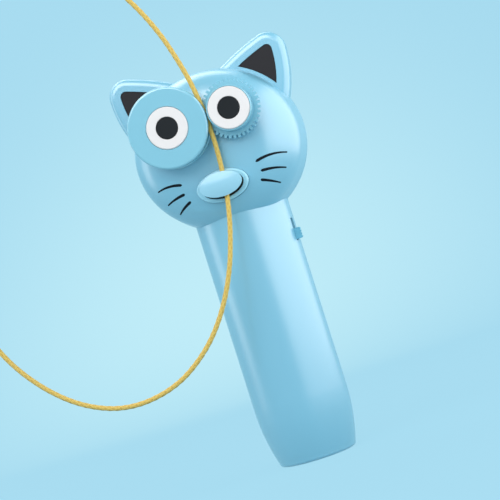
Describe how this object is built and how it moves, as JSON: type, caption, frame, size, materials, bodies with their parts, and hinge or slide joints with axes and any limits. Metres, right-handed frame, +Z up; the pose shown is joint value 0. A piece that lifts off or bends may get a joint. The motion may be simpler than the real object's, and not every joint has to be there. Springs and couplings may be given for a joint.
{
  "type": "string launcher toy",
  "caption": "Hand-held cat-head toy with a round handle whose two powered flanged wheels pinch a string and throw it out as a running loop in front of the face.",
  "frame": {"origin": "centre of the flat base that the toy stands on", "axes": "+Z up along the handle, -Y the way the face looks, +X the viewer's right when looking at the face"},
  "size_m": [0.1601, 0.061, 0.2413],
  "materials": {
    "shell_blue": "satin",
    "nose_blue": "gloss",
    "wheel_blue": "satin",
    "ear_black": "satin",
    "pupil_black": "gloss",
    "eye_white": "satin",
    "grip_rubber": "matte",
    "steel": "satin",
    "screw_steel": "satin",
    "inner_plastic": "matte",
    "switch_black": "matte",
    "board_green": "satin",
    "cell": "satin",
    "contact_metal": "satin",
    "string": "matte"
  },
  "bodies": {
    "housing": {"front_shell": "shell_blue", "rear_shell": "shell_blue", "left_ear_insert": "ear_black", "right_ear_insert": "ear_black", "nose_ring": "shell_blue", "nose_cap": "nose_blue", "nose_screws": "screw_steel", "motor_bracket": "inner_plastic", "bracket_screws": "screw_steel", "left_motor_can": "steel", "right_motor_can": "steel", "left_motor_end_bell": "inner_plastic", "right_motor_end_bell": "inner_plastic", "switch_board": "board_green", "switch_body": "switch_black", "battery_tray": "switch_black", "left_cell": "cell", "right_cell": "cell", "front_cell": "cell", "spring_contacts": "contact_metal", "plate_contacts": "contact_metal", "case_screws": "screw_steel", "string_loop": "string"},
    "left_launch_wheel": {"left_wheel": "wheel_blue", "left_eye_white": "eye_white", "left_pupil": "pupil_black", "left_motor_shaft": "steel"},
    "right_launch_wheel": {"right_wheel": "wheel_blue", "right_grip_ring": "grip_rubber", "right_eye_white": "eye_white", "right_pupil": "pupil_black", "right_motor_shaft": "steel"},
    "door": {"battery_door": "shell_blue", "door_screw": "screw_steel"},
    "switch": {"switch_knob": "wheel_blue"}
  },
  "joints": [
    {"name": "left_wheel_spin", "type": "hinge", "parent": "housing", "child": "left_launch_wheel", "pos_m": [-0.0137, 0, 0.1532], "axis": [0, 1, 0], "continuous": true},
    {"name": "right_wheel_spin", "type": "hinge", "parent": "housing", "child": "right_launch_wheel", "pos_m": [0.0137, 0, 0.1532], "axis": [0, 1, 0], "continuous": true},
    {"name": "door_swing", "type": "hinge", "parent": "housing", "child": "door", "pos_m": [0, 0.01939, 0.0174], "axis": [-1, 0, 0], "range_deg": [0, 40]},
    {"name": "switch_slide", "type": "slide", "parent": "housing", "child": "switch", "axis": [0, 0, 1], "range_m": [0, 0.004]}
  ],
  "couplings": [
    {"joint": "right_wheel_spin", "follows": "left_wheel_spin", "ratio": -1.5846}
  ]
}
